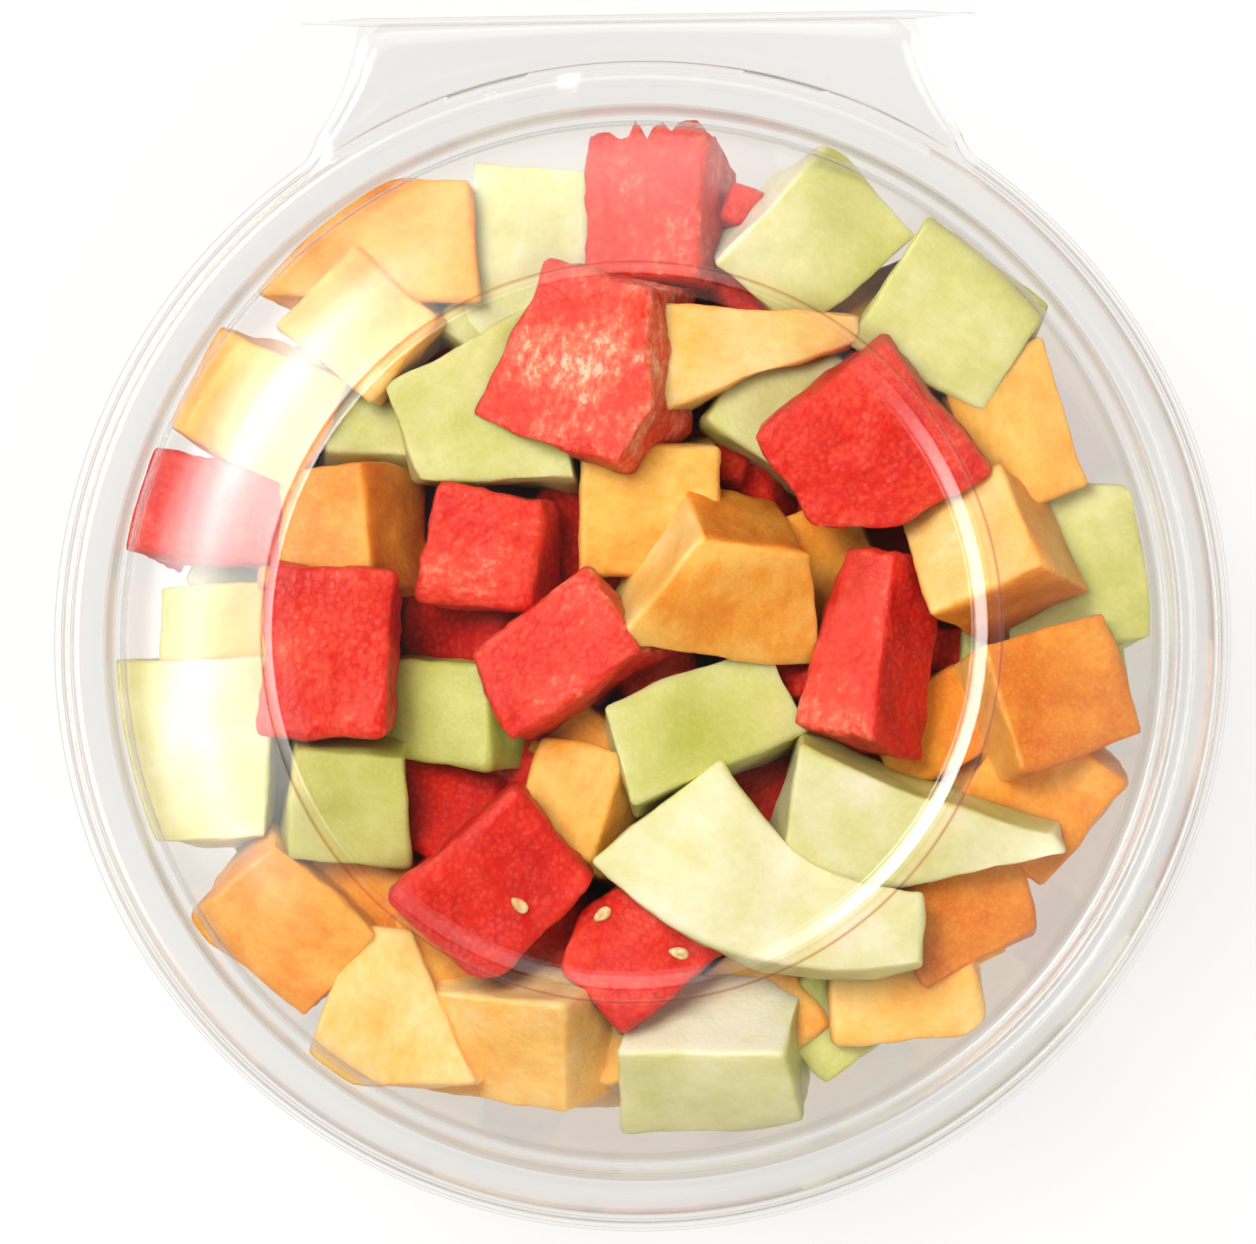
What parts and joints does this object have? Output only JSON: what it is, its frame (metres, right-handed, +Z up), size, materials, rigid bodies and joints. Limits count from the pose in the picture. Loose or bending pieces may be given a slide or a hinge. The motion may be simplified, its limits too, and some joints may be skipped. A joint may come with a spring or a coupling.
{
  "type": "fruit salad in a clear hinged tub",
  "caption": "Cut watermelon, cantaloupe and honeydew melon heaped in a clear round plastic bowl under a clear domed lid hinged at the back.",
  "frame": {"origin": "centre of the bowl's flat base, on the surface it stands on", "axes": "+Z up, +Y from the middle towards the lid's hinge, +X to the right seen from the front"},
  "size_m": [0.1854, 0.1917, 0.076],
  "materials": {
    "clear_plastic": "clear and glossy, thin moulded sheet",
    "watermelon": "wet, grainy red flesh",
    "cantaloupe": "wet, smooth orange flesh",
    "honeydew": "wet, smooth pale green flesh",
    "seed": "smooth, pale and unripe"
  },
  "bodies": {
    "tub": {"bowl": "clear_plastic", "fruit": "cantaloupe"},
    "lid": {"lid": "clear_plastic"}
  },
  "joints": [
    {"name": "lid_hinge", "type": "hinge", "parent": "tub", "child": "lid", "pos_m": [0, 0.0979, 0.059], "axis": [-1, 0, 0], "range_deg": [0, 180]}
  ]
}
